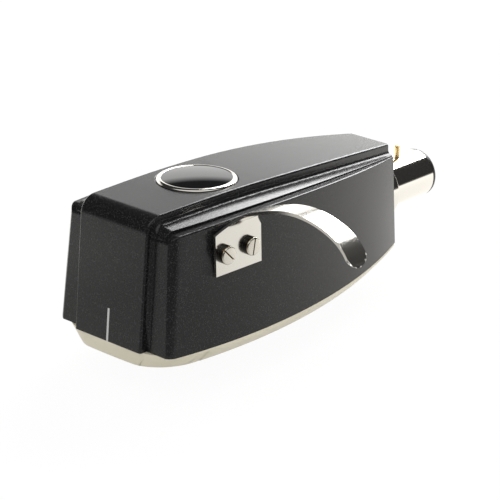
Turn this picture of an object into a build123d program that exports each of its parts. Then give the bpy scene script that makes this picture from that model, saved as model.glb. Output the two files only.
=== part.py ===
import math
import os
from build123d import *

os.makedirs("parts", exist_ok=True)

# Frame: origin on the plug axis at the collar face, +Y back along the plug, +X finger lift side, +Z up, mm

# Shell, overall
front_y = -61.25
rake_deg = 6.7
shell_rear_y = -2.1
shell_bottom_z = -7.75
top_z = 12.85
top_flat_end_y = -49.5
top_rear_z = 9.05
top_bend_radius = 2.8
wall_thickness = 1.7
rear_wall_thickness = 5.4
ceiling_depth = 3.6

# Raised centre band
band_half_front = 7.15
band_half_max = 7.6
band_half_rear = 3.95
band_widest_y = -33.3
band_edge_radius = 0.4

# Sloping shoulder beside the band
shoulder_half_front = 9.2
shoulder_half_max = 10.55
shoulder_half_rear = 4.75
shoulder_rear_inset = 0.95
shoulder_top_inset = 1.5
shoulder_front_inset = 1.2
shoulder_slope = 0.16
shoulder_edge_radius = 0.15
cove_radius = 0.75

# Outer wall
wall_half_front = 12.0
wall_half_max = 14.3
wall_half_rear = 5.75
wall_widest_y = -41.0
lip_inset_front = 0.7
lip_inset_max = 2.3
lip_inset_rear = 0.6
lip_widest_shift = 1.0
wall_top_inset = 2.3
wall_rear_inset = 1.95
wall_front_inset = 1.25
wall_corner_radius = 1.7
wall_edge_radius = 0.3
wall_foot = 0.4

# Bottom cover
cover_gap = 0.1
cover_rim_height = 0.5
cover_front_depth = 2.5
cover_rear_depth = 2.35
cover_bevel = 1.8
cover_bow = 0.5
cover_bow_bevel = 0.15
cover_corner_radius = 4.0
cover_edge_radius = 0.6
cover_floor = 1.2
cover_rib_height = 1.0
cover_rib_thickness = 0.9
cover_rib_gap = 0.12
window_half_width = 3.4
window_ahead = 2.0
window_behind = 14.5
cover_screw_inset = 4.25
cover_screw_rear_y = -14.0
cover_thread_depth = 8.0
cover_post_radius = 2.3
cover_post_height = 10.0

# Screws
m2_radius = 1.0
thread_gap = 0.02
hole_gap = 0.15
countersunk_head_radius = 1.9
head_sunk = 0.1
head_gap = 0.03
cover_screw_length = 7.0
cheese_head_radius = 1.65
cheese_head_height = 1.5
cheese_head_round = 0.25
first_slot_deg = -45.0
second_slot_deg = 80.0
slot_width = 0.45
slot_depth = 0.6

# Badge
badge_y = -41.65
badge_radius = 6.4
badge_seat_depth = 0.4
badge_stand = 0.75
badge_rim_width = 0.85
badge_gap = 0.05
badge_rim_radius = 0.35
dome_edge = 0.35
dome_rise = 0.55

# Sight line
line_width = 0.45
line_length = 5.2
line_depth = 0.3
line_gap = 0.02

# Finger lift, in the wall's own frame: along the wall, up, out
lift_y = -45.7
lift_z = 5.5
lift_thickness = 0.5
lift_sink = 0.17
plate_front = -5.1
plate_rear = 4.15
plate_low = -2.6
plate_high = 3.4
strip_front = -0.5
strip_rear = 3.3
neck_front_up = 6.4
neck_run = 0.5
neck_drop = 0.9
neck_rear_up = 4.8
shoulder_up = 3.8
root_top = 8.0
root_out = 4.3
bend_start = 4.0
lift_bend_points = [(0.3, 4.6), (0.7, 5.4), (1.7, 6.15), (4.5, 7.25), (8.5, 8.5), (13.0, 8.95), (17.8, 8.1),
                    (20.9, 6.55), (22.3, 5.05), (22.9, 3.45)]
lift_screw_first = -3.3
lift_screw_second = 1.7
lift_screw_up = 0.6
lift_screw_length = 4.2
lift_thread_depth = 4.0
pad_inset = 0.3
pad_depth = 1.2

# Plug
plug_radius = 4.0
plug_length = 10.7
plug_bore_radius = 3.2
plug_end_radius = 0.7
collar_radius = 5.0
collar_edge_radius = 0.3
spigot_radius = 3.8
spigot_gap = 0.03
relief_width = 1.3
relief_depth = 0.2
pin_y = 5.0
pin_radius = 0.4
pin_height = 2.0
insulator_front = 0.6
insulator_recess = 2.0
contact_radius = 0.55
contact_offset = 1.3
contact_tail = 0.9
contact_recess = 0.4
plug_screw_y = -4.8
plug_screw_length = 3.3

# Generator
tip_y = -52.0
tip_z = -13.5
tip_length = 0.75
tip_radius = 0.16
tip_point_radius = 0.03
tip_cone = 0.3
tip_gap = 0.01
pivot_behind = 6.8
pivot_above = 3.3
cantilever_radius = 0.35
cantilever_bore = 0.22
cantilever_end = 0.35
former_half = 0.75
former_thickness = 0.7
coil_build = 0.2
coil_half_width = 0.45
gap_radius = 1.35
front_yoke_thickness = 2.0
front_yoke_low_z = -12.1
front_yoke_low_half = 2.6
yoke_neck_z = -4.0
yoke_foot_z = -9.5
yoke_half = 6.3
magnet_half = 6.0
magnet_length = 10.0
magnet_low_z = -3.0
magnet_high_z = 5.0
rear_yoke_thickness = 2.5
rear_yoke_low_z = -8.2
rear_yoke_low_half = 3.5
pole_radius = 1.0
pole_gap = 0.02
pole_screw_radius = 0.7
pole_screw_length = 3.2
pole_screw_slot = 0.35
damper_radius = 0.9
damper_thickness = 0.5
wire_radius = 0.12
wire_gap = 0.08
wire_length = 4.0
bracket_thickness = 1.5
bracket_half = 10.3
bracket_ear_length = 6.0
generator_post_x = 8.3
generator_post_radius = 2.4
generator_post_bite = 0.5
generator_head_height = 1.2
generator_screw_length = 3.9
generator_thread_depth = 2.6
terminal_half = 5.6
terminal_thickness = 2.0
terminal_low_z = -2.0
terminal_high_z = 1.6
terminal_radius = 0.4
terminal_pitch = 3.0
terminal_length = 3.2
terminal_web = 0.3
lead_radius = 0.4
lead_outer_x = 5.4
lead_inner_x = 3.6

# Derived values
shell_height = top_z - shell_bottom_z
rake = math.tan(math.radians(rake_deg))
pivot_y = tip_y + pivot_behind
pivot_z = tip_z + pivot_above
window_front_y = tip_y - window_ahead
window_rear_y = tip_y + window_behind
cover_screw_front_y = front_y + cover_screw_inset
axis_rise = pivot_z - tip_z - tip_length
axis_angle = math.atan2(axis_rise, pivot_y - tip_y)
cantilever_length = math.hypot(axis_rise, pivot_y - tip_y)
front_yoke_y = pivot_y - front_yoke_thickness / 2
magnet_front_y = front_yoke_y + front_yoke_thickness
magnet_rear_y = magnet_front_y + magnet_length
rear_yoke_rear_y = magnet_rear_y + rear_yoke_thickness
generator_mid_y = (front_yoke_y + rear_yoke_rear_y) / 2
cavity_rear_y = shell_rear_y - rear_wall_thickness
bracket_top_z = magnet_high_z + bracket_thickness
cover_top_z = shell_bottom_z
drop_length = shell_rear_y - top_flat_end_y
drop = top_z - top_rear_z
drop_radius = (drop_length**2 + drop**2) / (2 * drop)
countersunk_head_height = countersunk_head_radius - m2_radius
overrun = 1.0
trim = 0.1
rest_on = (Align.CENTER, Align.CENTER, Align.MIN)
rest_under = (Align.CENTER, Align.CENTER, Align.MAX)
beyond = 5.0
reach = wall_half_max + beyond
tall = shell_height + beyond
lip_rise = shell_height - wall_top_inset
back = tall * rake


def top_height(y):
    run = max(0.0, y - top_flat_end_y)
    return top_z - drop_radius + math.sqrt(drop_radius**2 - run**2)


def raised(low, lip):
    return low + (lip - low) * tall / lip_rise


def bowed_half(y, front, rear, half_front, half_max, half_rear, widest):
    if y < widest:
        run = widest - front
        fall = half_max - half_front
    else:
        run = rear - widest
        fall = half_max - half_rear
    radius = (run**2 + fall**2) / (2 * fall)
    return half_max - radius + math.sqrt(radius**2 - (y - widest) ** 2)


lip_half_front = wall_half_front - lip_inset_front
lip_half_max = wall_half_max - lip_inset_max
lip_half_rear = wall_half_rear - lip_inset_rear
lip_widest_y = wall_widest_y + lip_widest_shift
high_half_front = raised(wall_half_front, lip_half_front)
high_half_max = raised(wall_half_max, lip_half_max)
high_half_rear = raised(wall_half_rear, lip_half_rear)
high_widest_y = raised(wall_widest_y, lip_widest_y)


def wall_half(y, z):
    front = front_y + wall_front_inset
    low = bowed_half(y, front, shell_rear_y, wall_half_front, wall_half_max, wall_half_rear, wall_widest_y)
    high = bowed_half(y, front, shell_rear_y, high_half_front, high_half_max, high_half_rear, high_widest_y)
    return low + (high - low) * (z - shell_bottom_z) / tall


def band_half(y):
    return bowed_half(y, front_y - overrun, shell_rear_y + overrun, band_half_front, band_half_max,
                      band_half_rear, band_widest_y)


def plan(plane, front, rear, half_front, half_max, half_rear, widest, corner, bow=0):
    with BuildSketch(plane) as outline:
        with BuildLine():
            TangentArc((half_max, widest), (half_front, front), tangent=(0, -1))
            TangentArc((half_max, widest), (half_rear, rear), tangent=(0, 1))
            TangentArc((-half_max, widest), (-half_front, front), tangent=(0, -1))
            TangentArc((-half_max, widest), (-half_rear, rear), tangent=(0, 1))
            if bow > 0:
                ThreePointArc((-half_front, front), (0, front - bow), (half_front, front))
            else:
                Line((-half_front, front), (half_front, front))
            Line((-half_rear, rear), (half_rear, rear))
        make_face()
        if corner > 0:
            fillet(outline.vertices().sort_by(Axis.Y)[:2], corner)
    return outline.sketch


def profile(front_inset, top_inset, rear_inset, bend):
    low = (front_y + front_inset, shell_bottom_z)
    high = (front_y + front_inset + rake * (shell_height - top_inset), top_z - top_inset)
    flat_end = (top_flat_end_y, top_z - top_inset)
    rear = (shell_rear_y, top_rear_z - rear_inset)
    foot = (shell_rear_y, shell_bottom_z)
    with BuildSketch(Plane.YZ) as side:
        with BuildLine():
            Polyline(low, high, flat_end)
            TangentArc(flat_end, rear, tangent=(1, 0))
            Polyline(rear, foot, low)
        make_face()
        corner = side.vertices().sort_by_distance((high[0], high[1], 0))[0]
        fillet(corner, bend)
    return side.sketch


def depth(point):
    from_front = point.Y - front_y - rake * (point.Z - shell_bottom_z)
    from_top = top_height(point.Y) - point.Z
    return min(from_front, from_top)


def is_long_edge(edge):
    middle = edge.position_at(0.5)
    on_rear = abs(middle.Y - shell_rear_y) < 0.01
    on_floor = abs(middle.Z - shell_bottom_z) < 0.7
    across = abs(edge.position_at(0).X + edge.position_at(1).X) < 0.01
    return not on_rear and not on_floor and not across


def on_band_side(edge):
    middle = edge.position_at(0.5)
    upright = abs(edge.position_at(0).Y - edge.position_at(1).Y) < 0.01
    on_rear = abs(middle.Y - shell_rear_y) < 0.05
    on_floor = abs(middle.Z - shell_bottom_z) < 0.05
    beside = abs(abs(middle.X) - band_half(middle.Y)) < 0.02
    return beside and not upright and not on_rear and not on_floor


def is_foot(edge):
    return on_band_side(edge) and depth(edge.position_at(0.5)) > 0.9 * shoulder_front_inset


def is_crest(edge):
    return on_band_side(edge) and depth(edge.position_at(0.5)) < 0.9 * shoulder_front_inset


base_plane = Plane.XY.offset(shell_bottom_z)
high_plane = Plane.XY.offset(shell_bottom_z + tall)

# Upper shell, three stacked layers: wall, shoulder, band
with BuildPart() as wall_layer:
    low_outline = plan(base_plane, front_y + wall_front_inset - trim, shell_rear_y, wall_half_front,
                       wall_half_max, wall_half_rear, wall_widest_y, wall_corner_radius)
    high_outline = plan(high_plane, front_y + wall_front_inset - trim + back, shell_rear_y, high_half_front,
                        high_half_max, high_half_rear, high_widest_y, wall_corner_radius)
    loft([low_outline.face(), high_outline.face()], ruled=True)
    extrude(profile(wall_front_inset, wall_top_inset, wall_rear_inset, top_bend_radius - wall_front_inset),
            amount=reach, dir=(1, 0, 0), both=True, mode=Mode.INTERSECT)
    fillet(wall_layer.edges().filter_by(is_long_edge), wall_edge_radius)
    split(bisect_by=base_plane.offset(wall_foot), keep=Keep.TOP)
    extrude(wall_layer.faces().sort_by(Axis.Z)[0], amount=wall_foot)

with BuildPart() as shoulder_layer:
    shoulder_side = profile(shoulder_front_inset, shoulder_top_inset - shoulder_slope * band_half_max,
                            shoulder_rear_inset, top_bend_radius - shoulder_front_inset)
    extrude(shoulder_side, amount=reach, dir=(1, 0, -shoulder_slope))
    extrude(shoulder_side, amount=reach, dir=(-1, 0, -shoulder_slope))
    extrude(plan(base_plane, front_y, shell_rear_y + overrun, shoulder_half_front, shoulder_half_max,
                 shoulder_half_rear, wall_widest_y, 0), amount=tall, mode=Mode.INTERSECT)
    fillet(shoulder_layer.edges().filter_by(is_long_edge), shoulder_edge_radius)

with BuildPart() as band_layer:
    extrude(profile(0, 0, 0, top_bend_radius), amount=reach, dir=(1, 0, 0), both=True)
    extrude(plan(base_plane, front_y - overrun, shell_rear_y + overrun, band_half_front, band_half_max,
                 band_half_rear, band_widest_y, 0), amount=tall, mode=Mode.INTERSECT)

# Hollow of the shell
with BuildPart() as hollow:
    cavity_front_y = front_y + wall_front_inset + wall_thickness
    low_outline = plan(base_plane, cavity_front_y, cavity_rear_y, wall_half_front - wall_thickness,
                       wall_half_max - wall_thickness, wall_half(cavity_rear_y, shell_bottom_z) - wall_thickness,
                       wall_widest_y, wall_corner_radius)
    high_outline = plan(high_plane, cavity_front_y + back, cavity_rear_y, high_half_front - wall_thickness,
                        high_half_max - wall_thickness,
                        wall_half(cavity_rear_y, shell_bottom_z + tall) - wall_thickness, high_widest_y,
                        wall_corner_radius)
    loft([low_outline.face(), high_outline.face()], ruled=True)
    extrude(profile(wall_front_inset + wall_thickness, ceiling_depth, ceiling_depth, 0.5),
            amount=reach, dir=(1, 0, 0), both=True, mode=Mode.INTERSECT)

# Places on the shell
slope_at_badge = math.atan2(badge_y - top_flat_end_y, drop_radius)
badge_plane = Plane(origin=(0, badge_y, top_height(badge_y)), x_dir=(1, 0, 0),
                    z_dir=(0, math.sin(slope_at_badge), math.cos(slope_at_badge)))
front_plane = Plane(origin=(0, front_y, shell_bottom_z), x_dir=(1, 0, 0), z_dir=(0, -1, rake))
step = 0.5
plate_foot_z = lift_z + plate_low
wall_turn = (wall_half(lift_y + step, plate_foot_z) - wall_half(lift_y - step, plate_foot_z)) / (2 * step)
lift_origin = (wall_half(lift_y, plate_foot_z), lift_y, lift_z)
lift_plane = Plane(origin=lift_origin, x_dir=(wall_turn, 1, 0), z_dir=(1, -wall_turn, 0))
seat_plane = lift_plane.offset(-lift_sink)
lift_screw_spots = [(lift_screw_first, lift_screw_up), (lift_screw_second, lift_screw_up)]
cover_screw_spots = [(0, cover_screw_front_y), (0, cover_screw_rear_y)]
generator_spots = [(-generator_post_x, generator_mid_y), (generator_post_x, generator_mid_y)]

with BuildPart() as upper_shell:
    add(wall_layer.part)
    add(shoulder_layer.part)
    add(band_layer.part)
    fillet(upper_shell.edges().filter_by(is_foot), cove_radius)
    fillet(upper_shell.edges().filter_by(is_crest), band_edge_radius)
    add(hollow.part, mode=Mode.SUBTRACT)
    with BuildSketch(base_plane):
        with Locations(cover_screw_spots[0]):
            Circle(cover_post_radius)
    extrude(amount=cover_post_height)
    with BuildSketch(base_plane):
        with Locations(cover_screw_spots[1]):
            Circle(cover_post_radius)
    extrude(amount=top_height(cover_screw_rear_y) - ceiling_depth / 2 - shell_bottom_z)
    with BuildSketch(Plane.XY.offset(bracket_top_z)):
        with Locations(*generator_spots):
            Circle(generator_post_radius)
    extrude(amount=top_height(generator_mid_y) - ceiling_depth + generator_post_bite - bracket_top_z)
    with BuildSketch(base_plane):
        with Locations(*cover_screw_spots):
            Circle(m2_radius + thread_gap)
    extrude(amount=cover_thread_depth, mode=Mode.SUBTRACT)
    with BuildSketch(Plane.XY.offset(bracket_top_z)):
        with Locations(*generator_spots):
            Circle(m2_radius + thread_gap)
    extrude(amount=generator_thread_depth, mode=Mode.SUBTRACT)
    with BuildSketch(badge_plane):
        Circle(badge_radius + badge_gap)
    extrude(amount=-badge_seat_depth, mode=Mode.SUBTRACT)
    with BuildSketch(front_plane):
        with Locations((0, line_length / 2)):
            Rectangle(line_width, line_length)
    extrude(amount=-line_depth, mode=Mode.SUBTRACT)
    with BuildSketch(seat_plane):
        with Locations(((plate_front + plate_rear) / 2, (plate_low + plate_high) / 2)):
            Rectangle(plate_rear - plate_front - 2 * pad_inset, plate_high - plate_low - 2 * pad_inset)
    extrude(amount=-pad_depth)
    with BuildSketch(seat_plane):
        with Locations(((plate_front + plate_rear) / 2, (plate_low + plate_high) / 2 + 1.0)):
            Rectangle(plate_rear - plate_front + 0.2, plate_high - plate_low + 2.2)
    extrude(amount=2, mode=Mode.SUBTRACT)
    with BuildSketch(seat_plane):
        with Locations(*lift_screw_spots):
            Circle(m2_radius + thread_gap)
    extrude(amount=-lift_thread_depth, mode=Mode.SUBTRACT)
    with BuildSketch(Plane.XZ.offset(-shell_rear_y)):
        Circle(spigot_radius + spigot_gap)
    extrude(amount=rear_wall_thickness + 1, mode=Mode.SUBTRACT)
    with BuildSketch(base_plane):
        with Locations((0, plug_screw_y)):
            Circle(m2_radius + thread_gap)
    extrude(amount=-shell_bottom_z - spigot_radius + 0.5, mode=Mode.SUBTRACT)
    upper_shell.part.label = "upper_shell"

export_step(upper_shell.part, "parts/upper_shell.step")

# Bottom cover
rim_plane = Plane.XY.offset(cover_top_z)
bevel_plane = Plane.XY.offset(cover_top_z - cover_rim_height)
cover_low_plane = Plane.XY.offset(cover_top_z - cover_front_depth)
cover_length = shell_rear_y - front_y
ahead_y = front_y - beyond
behind_y = shell_rear_y + beyond
cover_slope = (cover_front_depth - cover_rear_depth) / cover_length


def cover_low_z(y):
    return cover_top_z - cover_front_depth + cover_slope * (y - front_y)


def cover_outline(plane, bow, side, corner):
    return plan(plane, front_y + cover_bow + bow, shell_rear_y - cover_gap - side / 4,
                wall_half_front - cover_gap - side, wall_half_max - cover_gap - side,
                wall_half_rear - cover_gap - side, wall_widest_y, corner, cover_bow)


def under_slope(lift):
    with BuildSketch(Plane.YZ) as above:
        with BuildLine():
            Polyline((ahead_y, cover_low_z(ahead_y) + lift), (behind_y, cover_low_z(behind_y) + lift),
                     (behind_y, cover_top_z + beyond), (ahead_y, cover_top_z + beyond),
                     (ahead_y, cover_low_z(ahead_y) + lift))
        make_face()
    return above.sketch


with BuildPart() as cover_pocket:
    extrude(cover_outline(rim_plane, cover_bevel + 0.9, cover_bevel + 0.9, cover_corner_radius), amount=-4)
    extrude(under_slope(cover_floor), amount=reach, dir=(1, 0, 0), both=True, mode=Mode.INTERSECT)

with BuildPart() as cover_rib:
    rib_lean = (wall_half_max - lip_half_max) * cover_rib_height / lip_rise
    rib_inset = wall_thickness + cover_rib_gap + rib_lean
    cavity_half_rear = wall_half(cavity_rear_y, shell_bottom_z)
    extrude(plan(rim_plane, front_y + wall_front_inset + rib_inset, cavity_rear_y - cover_rib_gap,
                 wall_half_front - rib_inset, wall_half_max - rib_inset,
                 cavity_half_rear - rib_inset, wall_widest_y, wall_corner_radius), amount=cover_rib_height)
    rib_inner = rib_inset + cover_rib_thickness
    rib_rear_y = cavity_rear_y - cover_rib_gap - cover_rib_thickness
    extrude(plan(rim_plane, front_y + wall_front_inset + rib_inner, rib_rear_y,
                 wall_half_front - rib_inner, wall_half_max - rib_inner,
                 cavity_half_rear - rib_inner, wall_widest_y, wall_corner_radius / 2),
            amount=cover_rib_height, mode=Mode.SUBTRACT)
    with BuildSketch(rim_plane):
        with Locations((0, (front_y + shell_rear_y) / 2)):
            Rectangle(2 * (cover_post_radius + 1.5), cover_length)
    extrude(amount=cover_rib_height, mode=Mode.SUBTRACT)

with BuildPart() as bottom_cover:
    extrude(cover_outline(rim_plane, 0, 0, cover_corner_radius), amount=-cover_rim_height)
    loft([cover_outline(bevel_plane, 0, 0, cover_corner_radius).face(),
          cover_outline(cover_low_plane, cover_bow_bevel, cover_bevel, cover_corner_radius).face()], ruled=True)
    extrude(under_slope(0), amount=reach, dir=(1, 0, 0), both=True, mode=Mode.INTERSECT)
    fillet(bottom_cover.faces().sort_by(Axis.Z)[0].edges(), cover_edge_radius)
    add(cover_pocket.part, mode=Mode.SUBTRACT)
    for spot in cover_screw_spots:
        with BuildSketch(rim_plane):
            with Locations(spot):
                Circle(cover_post_radius + 0.4)
        extrude(amount=cover_low_z(spot[1]) + cover_floor / 2 - cover_top_z)
    with BuildSketch(rim_plane):
        with Locations((0, (window_front_y + window_rear_y) / 2)):
            RectangleRounded(2 * window_half_width, window_rear_y - window_front_y, 1.0)
    extrude(amount=-6, mode=Mode.SUBTRACT)
    add(cover_rib.part)
    with BuildSketch(rim_plane):
        with Locations(*cover_screw_spots):
            Circle(m2_radius + hole_gap)
    extrude(amount=-6, mode=Mode.SUBTRACT)
    for spot in cover_screw_spots:
        with Locations((0, spot[1], cover_low_z(spot[1]) + head_sunk)):
            Cylinder(countersunk_head_radius + head_gap, 1, align=rest_under, mode=Mode.SUBTRACT)
            Cone(countersunk_head_radius + head_gap, m2_radius + head_gap, countersunk_head_height,
                 align=rest_on, mode=Mode.SUBTRACT)
    bottom_cover.part.label = "bottom_cover"

export_step(bottom_cover.part, "parts/bottom_cover.step")

# Countersunk screws of the bottom cover
with BuildPart() as bottom_cover_screws:
    for spot in cover_screw_spots:
        with Locations((0, spot[1], cover_low_z(spot[1]) + head_sunk)):
            Cone(countersunk_head_radius, m2_radius, countersunk_head_height, align=rest_on)
            Cylinder(m2_radius, cover_screw_length, align=rest_on)
            Box(slot_width, 3 * countersunk_head_radius, slot_depth, align=rest_on, mode=Mode.SUBTRACT)
    bottom_cover_screws.part.label = "bottom_cover_screws"

export_step(bottom_cover_screws.part, "parts/bottom_cover_screws.step")

# Badge: chrome rim and black dome, in the recess of the band
badge_side_plane = Plane(origin=badge_plane.origin, x_dir=badge_plane.x_dir, z_dir=badge_plane.y_dir * -1)
badge_axis = Axis(badge_plane.origin, badge_plane.z_dir)
dome_radius = badge_radius - badge_rim_width - badge_gap

with BuildPart() as badge_rim:
    with BuildSketch(badge_side_plane) as rim_side:
        with BuildLine():
            Polyline((badge_radius - badge_rim_width, -badge_seat_depth), (badge_radius, -badge_seat_depth),
                     (badge_radius, badge_stand), (badge_radius - badge_rim_width, badge_stand),
                     (badge_radius - badge_rim_width, -badge_seat_depth))
        make_face()
        fillet(rim_side.vertices().sort_by(Axis.Y)[-2:], badge_rim_radius)
    revolve(axis=badge_axis)
    badge_rim.part.label = "badge_rim"

export_step(badge_rim.part, "parts/badge_rim.step")

with BuildPart() as badge_dome:
    with BuildSketch(badge_side_plane):
        with BuildLine():
            Polyline((0, dome_edge + dome_rise), (0, -badge_seat_depth), (dome_radius, -badge_seat_depth),
                     (dome_radius, dome_edge))
            TangentArc((0, dome_edge + dome_rise), (dome_radius, dome_edge), tangent=(1, 0))
        make_face()
    revolve(axis=badge_axis)
    badge_dome.part.label = "badge_dome"

export_step(badge_dome.part, "parts/badge_dome.step")

# Sight line, a white inlay in the front panel
with BuildPart() as marker_line:
    with BuildSketch(front_plane):
        with Locations((0, line_length / 2)):
            Rectangle(line_width - 2 * line_gap, line_length - 2 * line_gap)
    extrude(amount=-line_depth + line_gap)
    marker_line.part.label = "marker_line"

export_step(marker_line.part, "parts/marker_line.step")

# Finger lift, one bent strip with a screwed plate
lift_centre = lift_thickness / 2 - lift_sink
strip_plane = Plane(origin=lift_plane.origin, x_dir=lift_plane.z_dir, z_dir=lift_plane.x_dir * -1)
strip_end = lift_bend_points[-1]


with BuildLine():
    lift_guide = Spline((lift_centre, bend_start), *lift_bend_points)


def beside_guide(distance):
    points = []
    for i in range(17):
        spot = lift_guide.position_at(i / 16)
        way = lift_guide.tangent_at(i / 16)
        points.append((spot.X - distance * way.Y, spot.Y + distance * way.X))
    return points


def bent_section(far):
    over = beside_guide(lift_thickness / 2)
    under = beside_guide(-lift_thickness / 2)
    with BuildSketch(strip_plane.offset(-far)) as section:
        with BuildLine():
            Spline(*over)
            Spline(*under)
            Line(over[-1], under[-1])
            Polyline(over[0], (over[0][0], plate_low), (under[0][0], plate_low), under[0])
        make_face()
    return section.sketch


strip_middle = (strip_front + strip_rear) / 2
tip_round = (strip_rear - strip_front) / 2 + 0.1

with BuildPart() as lift_root:
    extrude(bent_section(plate_rear), amount=plate_rear - plate_front)
    with BuildSketch(lift_plane.offset(-1)):
        with BuildLine():
            Polyline((plate_front, plate_low), (plate_rear, plate_low), (plate_rear, plate_high),
                     (strip_rear, neck_rear_up), (strip_rear, root_top), (strip_front, root_top),
                     (strip_front, neck_front_up), (strip_front - neck_run, neck_front_up - neck_drop),
                     (plate_front, shoulder_up), (plate_front, plate_low))
        make_face()
    extrude(amount=1 + root_out, mode=Mode.INTERSECT)

with BuildPart() as finger_lift:
    extrude(bent_section(strip_rear), amount=strip_rear - strip_front)
    with BuildSketch(lift_plane.offset(root_out * 3)):
        with Locations((strip_middle, strip_end[1])):
            Rectangle(4 * tip_round, 2 * tip_round)
        with Locations((strip_middle, strip_end[1] + tip_round)):
            Circle(tip_round, mode=Mode.SUBTRACT)
    extrude(amount=strip_end[0], mode=Mode.SUBTRACT)
    add(lift_root.part)
    with BuildSketch(lift_plane.offset(-1)):
        with Locations(*lift_screw_spots):
            Circle(m2_radius + hole_gap)
    extrude(amount=2, mode=Mode.SUBTRACT)
    finger_lift.part.label = "finger_lift"

export_step(finger_lift.part, "parts/finger_lift.step")

# Cheese head screws of the finger lift
head_plane = lift_plane.offset(lift_thickness - lift_sink)
head_axis = Axis(head_plane.origin, head_plane.z_dir)

with BuildPart() as finger_lift_screws:
    with BuildSketch(head_plane):
        with Locations(*lift_screw_spots):
            Circle(cheese_head_radius)
    extrude(amount=cheese_head_height)
    for crown in finger_lift_screws.faces().sort_by(head_axis)[-2:]:
        fillet(crown.edges(), cheese_head_round)
    with BuildSketch(head_plane):
        with Locations(*lift_screw_spots):
            Circle(m2_radius)
    extrude(amount=-lift_screw_length)
    with BuildSketch(head_plane.offset(cheese_head_height)):
        with Locations(lift_screw_spots[0]):
            Rectangle(3 * cheese_head_radius, slot_width, rotation=first_slot_deg)
        with Locations(lift_screw_spots[1]):
            Rectangle(3 * cheese_head_radius, slot_width, rotation=second_slot_deg)
    extrude(amount=-slot_depth, mode=Mode.SUBTRACT)
    finger_lift_screws.part.label = "finger_lift_screws"

export_step(finger_lift_screws.part, "parts/finger_lift_screws.step")

# Plug sleeve, turned in one piece with its collar and spigot
relief_front_y = pin_y - relief_width / 2
relief_rear_y = pin_y + relief_width / 2
relief_radius = plug_radius - relief_depth

with BuildPart() as plug_sleeve:
    with BuildSketch(Plane.XY) as sleeve_side:
        with BuildLine():
            Polyline((plug_bore_radius, cavity_rear_y), (spigot_radius, cavity_rear_y),
                     (spigot_radius, shell_rear_y), (collar_radius, shell_rear_y), (collar_radius, 0),
                     (plug_radius, 0), (plug_radius, relief_front_y), (relief_radius, relief_front_y),
                     (relief_radius, relief_rear_y), (plug_radius, relief_rear_y),
                     (plug_radius, plug_length), (plug_bore_radius, plug_length),
                     (plug_bore_radius, cavity_rear_y))
        make_face()
        fillet(sleeve_side.vertices().sort_by_distance((plug_radius, plug_length, 0))[0], plug_end_radius)
        fillet(sleeve_side.vertices().sort_by_distance((collar_radius, 0, 0))[0], collar_edge_radius)
    revolve(axis=Axis.Y)
    with BuildSketch(Plane.XY):
        with Locations((0, pin_y)):
            Circle(pin_radius + thread_gap)
    extrude(amount=2 * plug_radius, mode=Mode.SUBTRACT)
    plug_sleeve.part.label = "plug_sleeve"

export_step(plug_sleeve.part, "parts/plug_sleeve.step")

with BuildPart() as locating_pin:
    with BuildSketch(Plane.XY.offset(plug_bore_radius + 0.05)):
        with Locations((0, pin_y)):
            Circle(pin_radius)
    extrude(amount=plug_radius + pin_height - plug_bore_radius - 0.05)
    fillet(locating_pin.faces().sort_by(Axis.Z)[-1].edges(), pin_radius / 3)
    locating_pin.part.label = "locating_pin"

export_step(locating_pin.part, "parts/locating_pin.step")

# Insulator with its flange, and the four contacts through it
insulator_front_y = cavity_rear_y - insulator_front
contact_front_y = insulator_front_y - contact_tail
contact_rear_y = plug_length - contact_recess
contact_spots = [(-contact_offset, -contact_offset), (contact_offset, -contact_offset),
                 (-contact_offset, contact_offset), (contact_offset, contact_offset)]

with BuildPart() as plug_insulator:
    with BuildSketch(Plane.XZ.offset(-insulator_front_y)):
        Circle(spigot_radius - 0.1)
    extrude(amount=-insulator_front)
    with BuildSketch(Plane.XZ.offset(-cavity_rear_y)):
        Circle(plug_bore_radius - thread_gap)
    extrude(amount=cavity_rear_y - plug_length + insulator_recess)
    with BuildSketch(Plane.XZ.offset(-insulator_front_y)):
        with Locations(*contact_spots):
            Circle(contact_radius + thread_gap)
    extrude(amount=-3 * plug_length, mode=Mode.SUBTRACT)
    plug_insulator.part.label = "plug_insulator"

export_step(plug_insulator.part, "parts/plug_insulator.step")

with BuildPart() as contact_pins:
    with BuildSketch(Plane.XZ.offset(-contact_front_y)):
        with Locations(*contact_spots):
            Circle(contact_radius)
    extrude(amount=contact_front_y - contact_rear_y)
    for nose in contact_pins.faces().sort_by(Axis.Y)[-4:]:
        fillet(nose.edges(), contact_radius / 2)
    contact_pins.part.label = "contact_pins"

export_step(contact_pins.part, "parts/contact_pins.step")

with BuildPart() as plug_set_screw:
    with Locations((0, plug_screw_y, -spigot_radius - thread_gap)):
        Cylinder(m2_radius, plug_screw_length, align=rest_under)
    with Locations((0, plug_screw_y, -spigot_radius - thread_gap - plug_screw_length)):
        Box(3 * m2_radius, slot_width, slot_depth, align=rest_on, mode=Mode.SUBTRACT)
    plug_set_screw.part.label = "plug_set_screw"

export_step(plug_set_screw.part, "parts/plug_set_screw.step")

# Generator, along the tilted axis of the cantilever
axis_dir = (0, math.cos(axis_angle), math.sin(axis_angle))
coil_plane = Plane(origin=(0, pivot_y, pivot_z), x_dir=(1, 0, 0), z_dir=axis_dir)
coil_rear = former_thickness / 2 + coil_build
damper_rear = coil_rear + damper_thickness


with BuildPart() as generator_bracket:
    with BuildSketch(Plane.XY.offset(magnet_high_z)):
        with Locations((0, generator_mid_y)):
            Rectangle(2 * yoke_half, rear_yoke_rear_y - front_yoke_y)
            RectangleRounded(2 * bracket_half, bracket_ear_length, 1.0)
    extrude(amount=bracket_thickness)
    with BuildSketch(Plane.XY.offset(magnet_high_z)):
        with Locations(*generator_spots):
            Circle(m2_radius + hole_gap)
    extrude(amount=bracket_thickness, mode=Mode.SUBTRACT)
    generator_bracket.part.label = "generator_bracket"

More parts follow.
